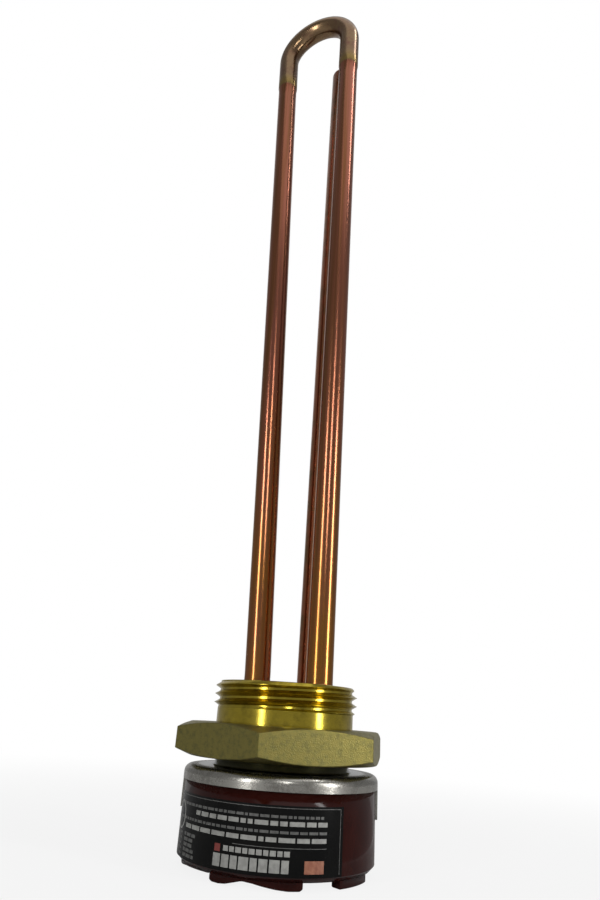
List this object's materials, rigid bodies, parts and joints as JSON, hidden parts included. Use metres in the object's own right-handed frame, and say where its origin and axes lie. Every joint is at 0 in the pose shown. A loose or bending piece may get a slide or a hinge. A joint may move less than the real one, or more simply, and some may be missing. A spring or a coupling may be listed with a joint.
{
  "type": "screw-in water heating element with rod regulator",
  "caption": "Copper-sheathed hairpin heating element and sensor pocket on a brass hexagon screw plug, with a round moulded rod regulator in a steel cup.",
  "frame": {"origin": "on the screw plug's axis, at the hexagon's sealing face", "axes": "+Z along the element, away from the regulator; the hairpin stands near the XZ plane"},
  "size_m": [0.0618, 0.0578, 0.3421],
  "materials": {
    "brass_plug": "satin turned brass, shinier on the thread",
    "braze_filler": "matte brazing filler",
    "copper_sheath": "drawn copper, slightly tarnished",
    "copper_pocket": "drawn copper",
    "magnesia": "packed white powder",
    "coil_wire": "oxidised resistance wire",
    "pin_steel": "drawn steel",
    "ceramic_bead": "matte white ceramic",
    "zinc_steel": "zinc plated, satin",
    "screw_steel": "zinc plated",
    "red_brown_moulding": "glossy phenolic moulding",
    "black_moulding": "semi-gloss moulding",
    "red_moulding": "semi-gloss moulding",
    "brass_stem": "drawn brass",
    "rod_steel": "ground nickel steel",
    "brass_strip": "stamped brass",
    "spring_bronze": "rolled spring bronze",
    "brass_terminal": "turned brass",
    "spring_steel": "drawn spring wire",
    "disc_metal": "rolled two-metal disc",
    "label_black": "satin printed band"
  },
  "bodies": {
    "heater": {"hex_plug": "brass_plug", "brazing_rings": "braze_filler", "element_sheath": "copper_sheath", "magnesia_filling": "magnesia", "resistance_coil": "coil_wire", "cold_pin_left": "pin_steel", "cold_pin_right": "pin_steel", "end_seal_left": "ceramic_bead", "end_seal_right": "ceramic_bead", "stem_pocket": "copper_pocket", "mounting_cup": "zinc_steel", "cup_screws": "screw_steel", "regulator_body": "red_brown_moulding", "stem_tube": "brass_stem", "invar_rod": "rod_steel", "socket_left": "brass_strip", "socket_right": "brass_strip", "neutral_strip": "brass_strip", "fixed_contact": "brass_strip", "contact_blade": "spring_bronze", "terminal_left": "brass_terminal", "terminal_right": "brass_terminal", "clamp_washers": "zinc_steel", "clamp_screws": "screw_steel", "lever_pin": "screw_steel", "screw_bush": "brass_terminal", "reset_spring": "spring_steel", "disc_holder": "ceramic_bead", "trip_disc": "disc_metal", "label_band": "label_black"},
    "dial": {"adjusting_dial": "black_moulding"},
    "feed_screw": {"adjusting_screw": "brass_terminal"},
    "lever": {"control_lever": "zinc_steel"},
    "button": {"reset_button": "red_moulding"}
  },
  "joints": [
    {"name": "dial_turn", "type": "hinge", "parent": "heater", "child": "dial", "pos_m": [0, 0, -0.033], "axis": [0, 0, 1], "range_deg": [0, 280]},
    {"name": "screw_feed", "type": "slide", "parent": "dial", "child": "feed_screw", "axis": [0, 0, 1], "range_m": [0, 0.00056]},
    {"name": "lever_rock", "type": "hinge", "parent": "heater", "child": "lever", "pos_m": [0, 0.007, -0.0186], "axis": [1, 0, 0], "range_deg": [-5, 0]},
    {"name": "reset_press", "type": "slide", "parent": "heater", "child": "button", "axis": [0, 0, 1], "range_m": [0, 0.0015], "stiffness_N_per_m": 600, "deforming": ["reset_spring"]}
  ],
  "couplings": [
    {"joint": "screw_feed", "follows": "dial_turn", "m_per_rad": 0.00011141},
    {"joint": "lever_rock", "follows": "dial_turn", "ratio": -0.017408}
  ]
}
